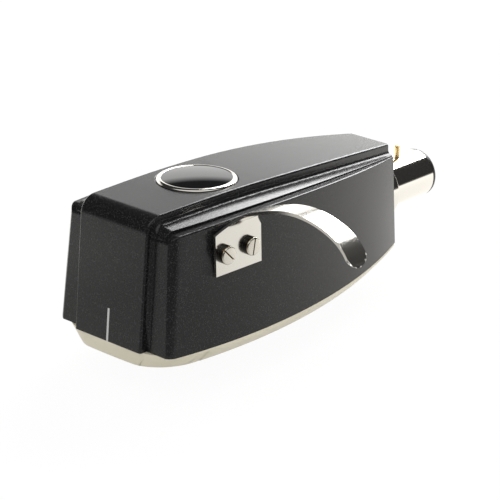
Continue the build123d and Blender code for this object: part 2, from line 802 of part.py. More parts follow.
export_step(generator_bracket.part, "parts/generator_bracket.step")

with BuildPart() as generator_screws:
    for spot in generator_spots:
        with Locations((spot[0], spot[1], magnet_high_z)):
            Cylinder(cheese_head_radius, generator_head_height, align=rest_under)
            Cylinder(m2_radius, generator_screw_length, align=rest_on)
        with Locations((spot[0], spot[1], magnet_high_z - generator_head_height)):
            Box(slot_width, 3 * cheese_head_radius, slot_depth, align=rest_on, mode=Mode.SUBTRACT)
    generator_screws.part.label = "generator_screws"

export_step(generator_screws.part, "parts/generator_screws.step")

with BuildPart() as magnet:
    with BuildSketch(Plane.XZ.offset(-magnet_front_y)):
        with Locations((0, (magnet_low_z + magnet_high_z) / 2)):
            Rectangle(2 * magnet_half, magnet_high_z - magnet_low_z)
    extrude(amount=-magnet_length)
    magnet.part.label = "magnet"

export_step(magnet.part, "parts/magnet.step")

with BuildPart() as front_yoke:
    with BuildSketch(Plane.XZ.offset(-front_yoke_y)):
        with BuildLine():
            Polyline((-yoke_half, magnet_high_z), (yoke_half, magnet_high_z), (yoke_half, yoke_neck_z),
                     (front_yoke_low_half, yoke_foot_z), (front_yoke_low_half, front_yoke_low_z),
                     (-front_yoke_low_half, front_yoke_low_z), (-front_yoke_low_half, yoke_foot_z),
                     (-yoke_half, yoke_neck_z), (-yoke_half, magnet_high_z))
        make_face()
    extrude(amount=-front_yoke_thickness)
    with BuildSketch(coil_plane):
        Circle(gap_radius)
    extrude(amount=2 * front_yoke_thickness, both=True, mode=Mode.SUBTRACT)
    front_yoke.part.label = "front_yoke"

export_step(front_yoke.part, "parts/front_yoke.step")

pole_screw_y = magnet_rear_y + rear_yoke_thickness / 2
pole_screw_z = pivot_z + (pole_screw_y - pivot_y) * math.tan(axis_angle)

with BuildPart() as rear_yoke:
    with BuildSketch(Plane.XZ.offset(-magnet_rear_y)):
        with BuildLine():
            Polyline((-yoke_half, magnet_high_z), (yoke_half, magnet_high_z), (yoke_half, magnet_low_z),
                     (rear_yoke_low_half, rear_yoke_low_z), (-rear_yoke_low_half, rear_yoke_low_z),
                     (-yoke_half, magnet_low_z), (-yoke_half, magnet_high_z))
        make_face()
    extrude(amount=-rear_yoke_thickness)
    with BuildSketch(coil_plane):
        Circle(pole_radius + pole_gap)
    extrude(amount=3 * magnet_length, mode=Mode.SUBTRACT)
    with BuildSketch(Plane.YZ):
        with Locations((pole_screw_y, pole_screw_z)):
            Circle(pole_screw_radius + thread_gap)
    extrude(amount=2 * yoke_half, mode=Mode.SUBTRACT)
    rear_yoke.part.label = "rear_yoke"

export_step(rear_yoke.part, "parts/rear_yoke.step")

pole_end = (rear_yoke_rear_y - pivot_y) / math.cos(axis_angle) - pole_radius * math.tan(axis_angle)

with BuildPart() as pole_pin:
    with BuildSketch(coil_plane.offset(damper_rear)):
        Circle(pole_radius)
    extrude(amount=pole_end - damper_rear)
    with BuildSketch(coil_plane.offset(damper_rear)):
        Circle(wire_radius + thread_gap)
    extrude(amount=wire_length, mode=Mode.SUBTRACT)
    pole_pin.part.label = "pole_pin"

export_step(pole_pin.part, "parts/pole_pin.step")

with BuildPart() as pole_pin_screw:
    with BuildSketch(Plane.YZ.offset(pole_radius + thread_gap)):
        with Locations((pole_screw_y, pole_screw_z)):
            Circle(pole_screw_radius)
    extrude(amount=pole_screw_length)
    with BuildSketch(Plane.YZ.offset(pole_radius + thread_gap + pole_screw_length)):
        with Locations((pole_screw_y, pole_screw_z)):
            Rectangle(pole_screw_slot, 3 * pole_screw_radius)
    extrude(amount=-pole_screw_slot, mode=Mode.SUBTRACT)
    pole_pin_screw.part.label = "pole_pin_screw"

export_step(pole_pin_screw.part, "parts/pole_pin_screw.step")

with BuildPart() as damper_ring:
    with BuildSketch(coil_plane.offset(coil_rear)):
        Circle(damper_radius)
        Circle(wire_radius + wire_gap, mode=Mode.SUBTRACT)
    extrude(amount=damper_thickness)
    damper_ring.part.label = "damper_ring"

export_step(damper_ring.part, "parts/damper_ring.step")

with BuildPart() as tie_wire:
    with BuildSketch(coil_plane):
        Circle(wire_radius)
    extrude(amount=damper_rear + wire_length - thread_gap)
    tie_wire.part.label = "tie_wire"

export_step(tie_wire.part, "parts/tie_wire.step")

former_front_plane = coil_plane.offset(-former_thickness / 2)
coil_front_plane = coil_plane.offset(-coil_rear)

with BuildPart() as coil_former:
    with BuildSketch(former_front_plane):
        Rectangle(2 * former_half, 2 * former_half)
    extrude(amount=former_thickness)
    with BuildSketch(coil_plane.offset(-wire_gap)):
        Circle(wire_radius + wire_gap)
    extrude(amount=former_thickness, mode=Mode.SUBTRACT)
    coil_former.part.label = "coil_former"

export_step(coil_former.part, "parts/coil_former.step")

with BuildPart() as coils:
    with BuildSketch(coil_front_plane):
        Rectangle(2 * coil_half_width, 2 * (former_half + coil_build))
        Rectangle(2 * (former_half + coil_build), 2 * coil_half_width)
    extrude(amount=2 * coil_rear)
    with BuildSketch(former_front_plane):
        Rectangle(2 * former_half, 2 * former_half)
    extrude(amount=former_thickness, mode=Mode.SUBTRACT)
    with BuildSketch(coil_front_plane):
        Circle(cantilever_radius + thread_gap)
    extrude(amount=coil_build, mode=Mode.SUBTRACT)
    with BuildSketch(coil_plane):
        Circle(wire_radius + wire_gap)
    extrude(amount=2 * coil_rear, mode=Mode.SUBTRACT)
    coils.part.label = "coils"

export_step(coils.part, "parts/coils.step")

tip_axis_z = tip_z + tip_length

with BuildPart() as cantilever:
    with BuildSketch(former_front_plane):
        Circle(cantilever_radius)
        Circle(cantilever_bore, mode=Mode.SUBTRACT)
    extrude(amount=former_thickness / 2 - cantilever_length - cantilever_end)
    with BuildSketch(Plane.XY.offset(tip_axis_z - 2 * cantilever_radius)):
        with Locations((0, tip_y)):
            Circle(tip_radius + tip_gap)
    extrude(amount=4 * cantilever_radius, mode=Mode.SUBTRACT)
    cantilever.part.label = "cantilever"

export_step(cantilever.part, "parts/cantilever.step")

with BuildPart() as stylus_tip:
    with Locations((0, tip_y, tip_z + tip_cone)):
        Cone(tip_point_radius, tip_radius, tip_cone, align=rest_under)
        Cylinder(tip_radius, tip_length + cantilever_radius - tip_cone, align=rest_on)
    stylus_tip.part.label = "stylus_tip"

export_step(stylus_tip.part, "parts/stylus_tip.step")

# Terminals behind the generator and the four leads to the plug
terminal_z = (terminal_low_z + terminal_high_z) / 2
terminal_rear_y = rear_yoke_rear_y + terminal_thickness
pin_end_y = terminal_rear_y + terminal_length
outer_x = 1.5 * terminal_pitch
inner_x = 0.5 * terminal_pitch
terminal_spots = [(-outer_x, terminal_z), (-inner_x, terminal_z), (inner_x, terminal_z), (outer_x, terminal_z)]

with BuildPart() as terminal_block:
    with BuildSketch(Plane.XZ.offset(-rear_yoke_rear_y)):
        with Locations((0, terminal_z)):
            Rectangle(2 * terminal_half, terminal_high_z - terminal_low_z)
    extrude(amount=-terminal_thickness)
    with BuildSketch(Plane.XZ.offset(-terminal_rear_y)):
        with Locations(*terminal_spots):
            Circle(terminal_radius + thread_gap)
    extrude(amount=terminal_thickness - terminal_web, mode=Mode.SUBTRACT)
    terminal_block.part.label = "terminal_block"

export_step(terminal_block.part, "parts/terminal_block.step")

with BuildPart() as terminal_pins:
    with BuildSketch(Plane.XZ.offset(-pin_end_y)):
        with Locations(*terminal_spots):
            Circle(terminal_radius)
    extrude(amount=terminal_length + terminal_thickness - terminal_web)
    terminal_pins.part.label = "terminal_pins"

export_step(terminal_pins.part, "parts/terminal_pins.step")


def lead(start_x, middle_x, end_x, end_z):
    start = (start_x, pin_end_y, terminal_z)
    middle = (middle_x, cover_screw_rear_y, (terminal_z + end_z) / 2)
    end = (end_x, contact_front_y, end_z)
    with BuildPart() as wire:
        with BuildLine() as route:
            Spline(start, middle, end, tangents=((0, 1, 0), (0, 1, 0)))
        with BuildSketch(Plane(origin=start, x_dir=(1, 0, 0), z_dir=(0, 1, 0))):
            Circle(lead_radius)
        sweep(path=route.line)
    return wire.part


with BuildPart() as lead_left_signal:
    add(lead(-outer_x, -lead_outer_x, -contact_offset, contact_offset))
    lead_left_signal.part.label = "lead_left_signal"

export_step(lead_left_signal.part, "parts/lead_left_signal.step")

with BuildPart() as lead_left_return:
    add(lead(-inner_x, -lead_inner_x, -contact_offset, -contact_offset))
    lead_left_return.part.label = "lead_left_return"

export_step(lead_left_return.part, "parts/lead_left_return.step")

with BuildPart() as lead_right_signal:
    add(lead(outer_x, lead_outer_x, contact_offset, contact_offset))
    lead_right_signal.part.label = "lead_right_signal"

export_step(lead_right_signal.part, "parts/lead_right_signal.step")

with BuildPart() as lead_right_return:
    add(lead(inner_x, lead_inner_x, contact_offset, -contact_offset))
    lead_right_return.part.label = "lead_right_return"

export_step(lead_right_return.part, "parts/lead_right_return.step")
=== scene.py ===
import math
import bpy
from mathutils import Matrix, Vector


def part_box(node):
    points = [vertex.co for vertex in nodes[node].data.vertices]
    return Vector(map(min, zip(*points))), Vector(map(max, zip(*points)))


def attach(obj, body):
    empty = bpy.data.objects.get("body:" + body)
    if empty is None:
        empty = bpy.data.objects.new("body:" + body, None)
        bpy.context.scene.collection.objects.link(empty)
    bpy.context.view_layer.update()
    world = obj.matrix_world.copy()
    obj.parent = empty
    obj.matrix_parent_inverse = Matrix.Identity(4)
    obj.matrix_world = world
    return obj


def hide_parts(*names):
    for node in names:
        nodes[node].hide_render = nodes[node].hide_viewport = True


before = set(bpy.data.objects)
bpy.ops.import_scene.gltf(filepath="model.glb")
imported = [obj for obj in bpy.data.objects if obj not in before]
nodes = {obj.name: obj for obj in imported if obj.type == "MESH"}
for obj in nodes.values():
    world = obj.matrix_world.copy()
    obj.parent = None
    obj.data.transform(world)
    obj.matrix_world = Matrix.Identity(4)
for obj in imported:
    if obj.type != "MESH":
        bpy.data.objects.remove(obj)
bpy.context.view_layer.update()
scene = bpy.context.scene
scene.view_settings.view_transform = "Standard"

# Camera, fitted to the photograph
IMAGE_SIDE = 500
FOCAL_PIXELS = 2331.2
SENSOR_MM = 36.0
CLIP_NEAR = 0.01
CLIP_FAR = 20.0
CAMERA_PLACE = (0.238637, -0.274135, 0.132887)
CAMERA_RIGHT = Vector((0.71882, 0.69502, -0.01566))
CAMERA_UP = Vector((-0.24554, 0.2749, 0.92959))


def add_camera():
    lens = bpy.data.cameras.new("photo_camera")
    lens.sensor_fit = "HORIZONTAL"
    lens.sensor_width = SENSOR_MM
    lens.lens = FOCAL_PIXELS * SENSOR_MM / IMAGE_SIDE
    lens.clip_start = CLIP_NEAR
    lens.clip_end = CLIP_FAR
    camera = bpy.data.objects.new("photo_camera", lens)
    scene.collection.objects.link(camera)
    back = CAMERA_RIGHT.cross(CAMERA_UP).normalized()
    turn = Matrix((CAMERA_RIGHT, CAMERA_UP, back)).transposed().to_4x4()
    camera.matrix_world = Matrix.Translation(CAMERA_PLACE) @ turn
    scene.camera = camera


# Surface shared by all finishes: a fine grain, a cloudy tint and pale flecks
GRAIN_SCALE = 1.0
GRAIN_DETAIL = 3.0
GRAIN_DEPTH = 0.00002
CLOUD_SCALE = 160.0
CLOUD_DETAIL = 4.0
FLECK_SCALE = 5200.0
FLECK_DETAIL = 1.0
FLECK_FROM = 0.54
FLECK_TO = 0.74
FLECK_COLOUR = (0.09, 0.09, 0.088, 1.0)
SURFACE_INPUTS = {
    "Colour": "NodeSocketColor", "Shade": "NodeSocketColor", "Stretch": "NodeSocketVector",
    "Strength": "NodeSocketFloat", "Roughness": "NodeSocketFloat", "Spread": "NodeSocketFloat",
    "Fleck": "NodeSocketFloat",
}
SURFACE_OUTPUTS = {"Colour": "NodeSocketColor", "Roughness": "NodeSocketFloat", "Normal": "NodeSocketVector"}


def noise(tree, scale, detail):
    node = tree.nodes.new("ShaderNodeTexNoise")
    node.inputs["Scale"].default_value = scale
    node.inputs["Detail"].default_value = detail
    return node


def arithmetic(tree, operation):
    node = tree.nodes.new("ShaderNodeMath")
    node.operation = operation
    return node


def colour_mix(tree):
    node = tree.nodes.new("ShaderNodeMix")
    node.data_type = "RGBA"
    return node


def make_surface_group():
    group = bpy.data.node_groups.new("moulded_and_metal_surface", "ShaderNodeTree")
    for name, kind in SURFACE_INPUTS.items():
        group.interface.new_socket(name, in_out="INPUT", socket_type=kind)
    for name, kind in SURFACE_OUTPUTS.items():
        group.interface.new_socket(name, in_out="OUTPUT", socket_type=kind)
    inside = group.nodes.new("NodeGroupInput")
    outside = group.nodes.new("NodeGroupOutput")
    place = group.nodes.new("ShaderNodeTexCoord")
    stretch = group.nodes.new("ShaderNodeVectorMath")
    stretch.operation = "MULTIPLY"
    grain = noise(group, GRAIN_SCALE, GRAIN_DETAIL)
    cloud = noise(group, CLOUD_SCALE, CLOUD_DETAIL)
    dots = noise(group, FLECK_SCALE, FLECK_DETAIL)
    sparse = group.nodes.new("ShaderNodeMapRange")
    sparse.inputs["From Min"].default_value = FLECK_FROM
    sparse.inputs["From Max"].default_value = FLECK_TO
    both = arithmetic(group, "MULTIPLY")
    amount = arithmetic(group, "MULTIPLY")
    spread = arithmetic(group, "MULTIPLY_ADD")
    tint = colour_mix(group)
    flecked = colour_mix(group)
    flecked.inputs["B"].default_value = FLECK_COLOUR
    bump = group.nodes.new("ShaderNodeBump")
    bump.inputs["Distance"].default_value = GRAIN_DEPTH
    link = group.links.new
    link(place.outputs["Object"], stretch.inputs[0])
    link(inside.outputs["Stretch"], stretch.inputs[1])
    link(stretch.outputs["Vector"], grain.inputs["Vector"])
    link(place.outputs["Object"], cloud.inputs["Vector"])
    link(place.outputs["Object"], dots.inputs["Vector"])
    link(cloud.outputs["Fac"], tint.inputs["Factor"])
    link(inside.outputs["Colour"], tint.inputs["A"])
    link(inside.outputs["Shade"], tint.inputs["B"])
    link(dots.outputs["Fac"], sparse.inputs["Value"])
    link(sparse.outputs["Result"], amount.inputs[0])
    link(inside.outputs["Fleck"], amount.inputs[1])
    link(amount.outputs["Value"], flecked.inputs["Factor"])
    link(tint.outputs["Result"], flecked.inputs["A"])
    link(grain.outputs["Fac"], both.inputs[0])
    link(cloud.outputs["Fac"], both.inputs[1])
    link(both.outputs["Value"], spread.inputs[0])
    link(inside.outputs["Spread"], spread.inputs[1])
    link(inside.outputs["Roughness"], spread.inputs[2])
    link(inside.outputs["Strength"], bump.inputs["Strength"])
    link(grain.outputs["Fac"], bump.inputs["Height"])
    link(flecked.outputs["Result"], outside.inputs["Colour"])
    link(spread.outputs["Value"], outside.inputs["Roughness"])
    link(bump.outputs["Normal"], outside.inputs["Normal"])
    return group


SURFACE = make_surface_group()


def finish(name, colour, shade, stretch, strength, roughness, spread, metallic=0.0, ior=1.5, fleck=0.0):
    material = bpy.data.materials.new(name)
    material.use_nodes = True
    tree = material.node_tree
    shader = tree.nodes["Principled BSDF"]
    shader.inputs["Metallic"].default_value = metallic
    shader.inputs["IOR"].default_value = ior
    surface = tree.nodes.new("ShaderNodeGroup")
    surface.node_tree = SURFACE
    surface.inputs["Colour"].default_value = (*colour, 1.0)
    surface.inputs["Shade"].default_value = (*shade, 1.0)
    surface.inputs["Stretch"].default_value = stretch
    surface.inputs["Strength"].default_value = strength
    surface.inputs["Roughness"].default_value = roughness
    surface.inputs["Spread"].default_value = spread
    surface.inputs["Fleck"].default_value = fleck
    tree.links.new(surface.outputs["Colour"], shader.inputs["Base Color"])
    tree.links.new(surface.outputs["Roughness"], shader.inputs["Roughness"])
    tree.links.new(surface.outputs["Normal"], shader.inputs["Normal"])
    return material


# Grain counts per metre along x, y and z
EVEN = (3000.0, 3000.0, 3000.0)
FINE = (4200.0, 4200.0, 4200.0)
DRAWN = (9000.0, 300.0, 9000.0)
GROUND = (900.0, 5000.0, 5000.0)
WOUND = (20000.0, 20000.0, 20000.0)

# Finishes other than metal
satin_black = finish("satin_black_moulding", (0.0075, 0.0075, 0.008), (0.0055, 0.0055, 0.006), FINE,
                     strength=0.5, roughness=0.19, spread=0.14, fleck=0.32)
ring_black = finish("turned_black_ring", (0.012, 0.012, 0.012), (0.008, 0.008, 0.008), EVEN,
                    strength=0.05, roughness=0.3, spread=0.2)
ivory = finish("ivory_moulding", (0.63, 0.59, 0.47), (0.57, 0.53, 0.41), EVEN,
               strength=0.05, roughness=0.36, spread=0.2)
dome_black = finish("polished_black", (0.006, 0.006, 0.006), (0.004, 0.004, 0.004), EVEN,
                    strength=0.01, roughness=0.04, spread=0.05, ior=1.9)
white_fill = finish("white_fill", (0.5, 0.5, 0.49), (0.42, 0.42, 0.41), EVEN,
                    strength=0.02, roughness=0.5, spread=0.2)
brown = finish("brown_insulator", (0.13, 0.065, 0.03), (0.09, 0.045, 0.02), EVEN,
               strength=0.04, roughness=0.38, spread=0.25)
rubber = finish("soft_rubber", (0.02, 0.02, 0.02), (0.014, 0.014, 0.014), EVEN,
                strength=0.05, roughness=0.62, spread=0.2)
resin = finish("resin_former", (0.52, 0.42, 0.21), (0.44, 0.34, 0.16), EVEN,
               strength=0.05, roughness=0.48, spread=0.2)
laminate = finish("terminal_laminate", (0.065, 0.038, 0.02), (0.05, 0.028, 0.015), EVEN,
                  strength=0.05, roughness=0.46, spread=0.25)
diamond = finish("ground_point", (0.75, 0.78, 0.8), (0.7, 0.72, 0.74), EVEN,
                 strength=0.02, roughness=0.08, spread=0.1, ior=2.4)

# Metal finishes
chrome = finish("polished_chrome", (0.86, 0.83, 0.78), (0.8, 0.77, 0.71), EVEN,
                strength=0.012, roughness=0.05, spread=0.1, metallic=1.0)
nickel = finish("brushed_nickel", (0.97, 0.95, 0.89), (0.93, 0.9, 0.83), DRAWN,
                strength=0.03, roughness=0.14, spread=0.14, metallic=1.0)
pale_screw = finish("nickelled_screw", (0.93, 0.9, 0.83), (0.88, 0.83, 0.72), EVEN,
                    strength=0.03, roughness=0.2, spread=0.2, metallic=1.0)
# Painted dark reflection: the lift screws' head sides are coloured near-black
painted_side_reflection = finish("painted_reflection_on_screw_heads", (0.03, 0.028, 0.025), (0.02, 0.018, 0.016), EVEN,
                    strength=0.03, roughness=0.25, spread=0.2, metallic=0.8)
# Painted shade: the walls and floors of the lift screws' slots are coloured brown
painted_slot_shade = finish("painted_shade_in_slots", (0.35, 0.24, 0.1), (0.28, 0.18, 0.07), EVEN,
                    strength=0.03, roughness=0.3, spread=0.2, metallic=0.8)
steel = finish("plain_steel", (0.52, 0.52, 0.52), (0.45, 0.45, 0.44), EVEN,
               strength=0.04, roughness=0.28, spread=0.25, metallic=1.0)
gilt = finish("gilt_contact", (0.85, 0.64, 0.3), (0.8, 0.57, 0.24), EVEN,
              strength=0.02, roughness=0.18, spread=0.2, metallic=1.0)
dark_iron = finish("ground_magnet", (0.13, 0.13, 0.14), (0.1, 0.1, 0.1), GROUND,
                   strength=0.1, roughness=0.42, spread=0.3, metallic=0.8)
copper = finish("copper_winding", (0.5, 0.2, 0.08), (0.4, 0.15, 0.05), WOUND,
                strength=0.15, roughness=0.32, spread=0.25, metallic=0.7)
alloy = finish("drawn_alloy", (0.72, 0.72, 0.73), (0.66, 0.66, 0.67), DRAWN,
               strength=0.03, roughness=0.26, spread=0.2, metallic=1.0)

finishes = {
    "upper_shell": satin_black, "bottom_cover": ivory, "badge_rim": chrome, "badge_dome": dome_black,
    "marker_line": white_fill, "finger_lift": nickel, "finger_lift_screws": pale_screw,
    "plug_sleeve": chrome, "locating_pin": gilt, "bottom_cover_screws": steel, "plug_insulator": brown,
    "contact_pins": gilt, "plug_set_screw": steel, "generator_bracket": steel, "generator_screws": steel,
    "magnet": dark_iron, "front_yoke": steel, "rear_yoke": steel, "pole_pin": steel,
    "pole_pin_screw": steel, "damper_ring": rubber, "tie_wire": steel, "coil_former": resin, "coils": copper,
    "cantilever": alloy, "stylus_tip": diamond, "terminal_block": laminate, "terminal_pins": gilt,
}
lead_colours = {
    "lead_left_signal": (0.7, 0.7, 0.68), "lead_left_return": (0.03, 0.08, 0.4),
    "lead_right_signal": (0.5, 0.02, 0.02), "lead_right_return": (0.02, 0.25, 0.06),
}
SLEEVING_SHADE = 0.8


def wear(node, material):
    target = nodes[node]
    target.data.materials.clear()
    target.data.materials.append(material)


for node, material in finishes.items():
    wear(node, material)
for node, colour in lead_colours.items():
    shade = tuple(SLEEVING_SHADE * channel for channel in colour)
    sleeving = finish(node + "_sleeving", colour, shade, EVEN, strength=0.03, roughness=0.42, spread=0.2)
    wear(node, sleeving)

# New pieces, in millimetres until they are placed
MM = 0.001
MERGE = 1e-7
FLAT_MERGE = 0.1
TURNED_STEPS = 96

# Angles in degrees up to which neighbouring faces are shaded as one
CRISP = 30.0
MOULDED = 32.0
DISHED = 38.0
ROUNDED = 40.0


def pick_only(piece):
    bpy.ops.object.select_all(action="DESELECT")
    piece.select_set(True)
    bpy.context.view_layer.objects.active = piece


def start_edit(piece):
    pick_only(piece)
    bpy.ops.object.mode_set(mode="EDIT")
    bpy.ops.mesh.select_all(action="SELECT")


def even_shading(piece, angle):
    pick_only(piece)
    bpy.ops.object.shade_smooth_by_angle(angle=math.radians(angle))
    bpy.ops.object.modifier_add(type="WEIGHTED_NORMAL")
    piece.modifiers[-1].keep_sharp = True
    bpy.ops.object.modifier_apply(modifier=piece.modifiers[-1].name)


def cut_with(piece, cutter, operation):
    pick_only(piece)
    bpy.ops.object.modifier_add(type="BOOLEAN")
    cut = piece.modifiers[-1]
    cut.operation = operation
    cut.solver = "EXACT"
    cut.object = cutter
    bpy.ops.object.modifier_apply(modifier=cut.name)
    pick_only(cutter)
    bpy.ops.object.delete()


def stand_for(piece, node, material):
    piece.data.materials.clear()
    piece.data.materials.append(material)
    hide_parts(node)
    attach(piece, "head")


def merged_copy(node, name, flat_merge=FLAT_MERGE):
    piece = bpy.data.objects.new(name, nodes[node].data.copy())
    scene.collection.objects.link(piece)
    start_edit(piece)
    bpy.ops.mesh.remove_doubles(threshold=MERGE)
    if flat_merge:
        bpy.ops.mesh.dissolve_limited(angle_limit=math.radians(flat_merge))
    bpy.ops.object.mode_set(mode="OBJECT")
    return piece


def smooth_skin(node, name, angle):
    piece = merged_copy(node, name)
    even_shading(piece, angle)
    stand_for(piece, node, finishes[node])


def turned(name, side, place, steps=TURNED_STEPS):
    bpy.ops.object.select_all(action="DESELECT")
    bpy.ops.mesh.primitive_circle_add(vertices=len(side), radius=MM, fill_type="NOTHING")
    piece = bpy.context.object
    piece.name = name
    for vertex, (radius, along) in zip(piece.data.vertices, side):
        vertex.co = (radius * MM, 0.0, along * MM)
    start_edit(piece)
    bpy.ops.mesh.spin(steps=steps, angle=math.tau, center=(0.0, 0.0, 0.0), axis=(0.0, 0.0, 1.0))
    bpy.ops.mesh.select_all(action="SELECT")
    bpy.ops.mesh.remove_doubles(threshold=MERGE)
    bpy.ops.mesh.delete_loose(use_verts=True, use_edges=True, use_faces=False)
    bpy.ops.mesh.select_all(action="SELECT")
    bpy.ops.mesh.normals_make_consistent(inside=False)
    bpy.ops.object.mode_set(mode="OBJECT")
    piece.matrix_world = place
    bpy.ops.object.transform_apply(location=True, rotation=True, scale=True)
    return piece


def quarter_round(centre, radius, steps):
    turns = [math.radians(90.0 * step / steps) for step in range(steps + 1)]
    return [(centre[0] + radius * math.cos(turn), centre[1] + radius * math.sin(turn)) for turn in turns]


# Shell, with the normals of its true surfaces: three layers, each a side view cut to a plan
FRONT_Y = -61.25
REAR_Y = -2.1
BASE_Z = -7.75
TOP_Z = 12.85
TOP_REAR_Z = 9.05
FLAT_END_Y = -49.5
BEND = 2.8
RAKE_ANGLE = 6.7
RAKE = math.tan(math.radians(RAKE_ANGLE))
RAKE_LENGTH = math.hypot(1.0, RAKE)
OVERRUN = 1.0
BEYOND = 5.0
TALL = TOP_Z - BASE_Z + BEYOND
WALL_FRONT_INSET = 1.25
WALL_TOP_INSET = 2.3
LIP_RISE = TOP_Z - BASE_Z - WALL_TOP_INSET
SHOULDER_SLOPE = 0.16
BAND_HALF_MAX = 7.6

# How far a layer lies inside the band at its front, its flat top and its top's rear end
BAND_LAYER = (0.0, 0.0, 0.0)
SHOULDER_LAYER = (1.2, 1.5 - SHOULDER_SLOPE * BAND_HALF_MAX, 0.95)
WALL_LAYER = (WALL_FRONT_INSET, WALL_TOP_INSET, 1.95)

# A plan's front and rear, its half widths at the front, the widest place and the rear, and that place
BAND_PLAN = (FRONT_Y - OVERRUN, REAR_Y + OVERRUN, 7.15, BAND_HALF_MAX, 3.95, -33.3)
SHOULDER_PLAN = (FRONT_Y, REAR_Y + OVERRUN, 9.2, 10.55, 4.75, -41.0)
WALL_LOW_PLAN = (FRONT_Y + WALL_FRONT_INSET, REAR_Y, 12.0, 14.3, 5.75, -41.0)
LIP_CHANGE = (0.0, 0.0, -0.7, -2.3, -0.6, 1.0)
WALL_HIGH_PLAN = tuple(low + change * TALL / LIP_RISE for low, change in zip(WALL_LOW_PLAN, LIP_CHANGE))

# How near a point has to be to a surface, how near a face's normal to its own, and the step of a slope
ON_SURFACE = 0.02
ON_WALL = 0.06
NEAR_ANGLE = 24.0
NEAR_FACE = math.cos(math.radians(NEAR_ANGLE))
STEP = 0.05


def side_view_normal(layer, y, z):
    front_inset, top_inset, rear_inset = layer
    top = TOP_Z - top_inset
    bend = BEND - front_inset
    front = FRONT_Y + front_inset
    middle_z = top - bend
    middle_y = front + RAKE * (middle_z - BASE_Z) + bend * RAKE_LENGTH
    if y > FLAT_END_Y:
        run = REAR_Y - FLAT_END_Y
        fall = top - (TOP_REAR_Z - rear_inset)
        radius = (run ** 2 + fall ** 2) / (2.0 * fall)
        lean = (y - FLAT_END_Y) / radius
        rise = math.sqrt(1.0 - lean ** 2)
        return (lean, rise) if abs(top - radius + radius * rise - z) < ON_SURFACE else None
    if y > middle_y:
        return (0.0, 1.0) if abs(z - top) < ON_SURFACE else None
    if (y - middle_y) * RAKE + (z - middle_z) > 0.0:
        reach = math.hypot(y - middle_y, z - middle_z)
        return ((y - middle_y) / reach, (z - middle_z) / reach) if abs(reach - bend) < ON_SURFACE else None
    away = abs(y - front - RAKE * (z - BASE_Z))
    return (-1.0 / RAKE_LENGTH, RAKE / RAKE_LENGTH) if away < ON_SURFACE else None


def half_width(outline, y):
    front, rear, half_front, half_max, half_rear, widest = outline
    run = widest - front if y < widest else rear - widest
    fall = half_max - (half_front if y < widest else half_rear)
    radius = (run ** 2 + fall ** 2) / (2.0 * fall)
    return half_max - radius + math.sqrt(radius ** 2 - (y - widest) ** 2)


def wall_half(y, z):
    low = half_width(WALL_LOW_PLAN, y)
    high = half_width(WALL_HIGH_PLAN, y)
    return low + (high - low) * (z - BASE_Z) / TALL


def true_normals(point):
    x, y, z = point
    hand = math.copysign(1.0, x)
    found = []
    for layer in (BAND_LAYER, WALL_LAYER):
        lean = side_view_normal(layer, y, z)
        if lean:
            found.append(Vector((0.0, *lean)))
    lean = side_view_normal(SHOULDER_LAYER, y, z + SHOULDER_SLOPE * abs(x))
    if lean:
        found.append(Vector((hand * SHOULDER_SLOPE * lean[1], *lean)).normalized())
    for outline in (BAND_PLAN, SHOULDER_PLAN):
        if abs(abs(x) - half_width(outline, y)) < ON_SURFACE:
            turn = (half_width(outline, y + STEP) - half_width(outline, y - STEP)) / (2.0 * STEP)
            found.append(Vector((hand, -turn, 0.0)).normalized())
    if abs(abs(x) - wall_half(y, z)) < ON_WALL:
        turn = (wall_half(y + STEP, z) - wall_half(y - STEP, z)) / (2.0 * STEP)
        lean_in = (wall_half(y, z + STEP) - wall_half(y, z - STEP)) / (2.0 * STEP)
        found.append(Vector((hand, -turn, -lean_in)).normalized())
    return found


def set_true_normals(piece):
    mesh = piece.data
    normals = [Vector(corner.vector) for corner in mesh.corner_normals]
    at_vertex = {}
    for face in mesh.polygons:
        for loop in face.loop_indices:
            index = mesh.loops[loop].vertex_index
            if index not in at_vertex:
                at_vertex[index] = true_normals(mesh.vertices[index].co / MM)
            near = max(at_vertex[index], key=face.normal.dot, default=None)
            if near and near.dot(face.normal) > NEAR_FACE:
                normals[loop] = near
    mesh.normals_split_custom_set(normals)


shell = merged_copy("upper_shell", "shell_moulding")
even_shading(shell, MOULDED)
set_true_normals(shell)
stand_for(shell, "upper_shell", satin_black)

# The lift, the locating pin and the cover's screws keep the solids' shape and lose their facets
smooth_skin("finger_lift", "lift_blade", MOULDED)
smooth_skin("locating_pin", "plug_locating_pin", ROUNDED)
smooth_skin("bottom_cover_screws", "cover_screws", ROUNDED)

# Cover, its front bowed and its front corners rounded by one cutter fitted to the photograph
COVER_RIM = 0.5
COVER_DEPTH = 2.5
RIM_Z = BASE_Z - COVER_RIM
BEVEL_END_Z = BASE_Z - COVER_DEPTH
CORNER_RADIUS = 8.0
CORNER_HIGH = Vector((5.113, -52.889, RIM_Z))
CORNER_LOW = Vector((3.291, -52.895, BEVEL_END_Z))
BOW_HIGH = Vector((0.0, -24.85, RIM_Z))
BOW_LOW = Vector((0.0, -34.6, BEVEL_END_Z))
BOW_HIGH_RADIUS = 36.4
BOW_LOW_RADIUS = 26.5
BOW_TURN = 10.3
BOW_STEPS = 5
CORNER_STEPS = 14
CORNER_TURN = 88.0
CUT_FAR = 60.0
CUT_SIDE_Y = -45.0
CUT_TOP_Z = -4.0
CUT_LOW_Z = -14.0
CUT_MERGE = 0.00006
CUT_FLAT_MERGE = 0.5


def ruling(high, low, level):
    return high + (low - high) * (level - high.z) / (low.z - high.z)


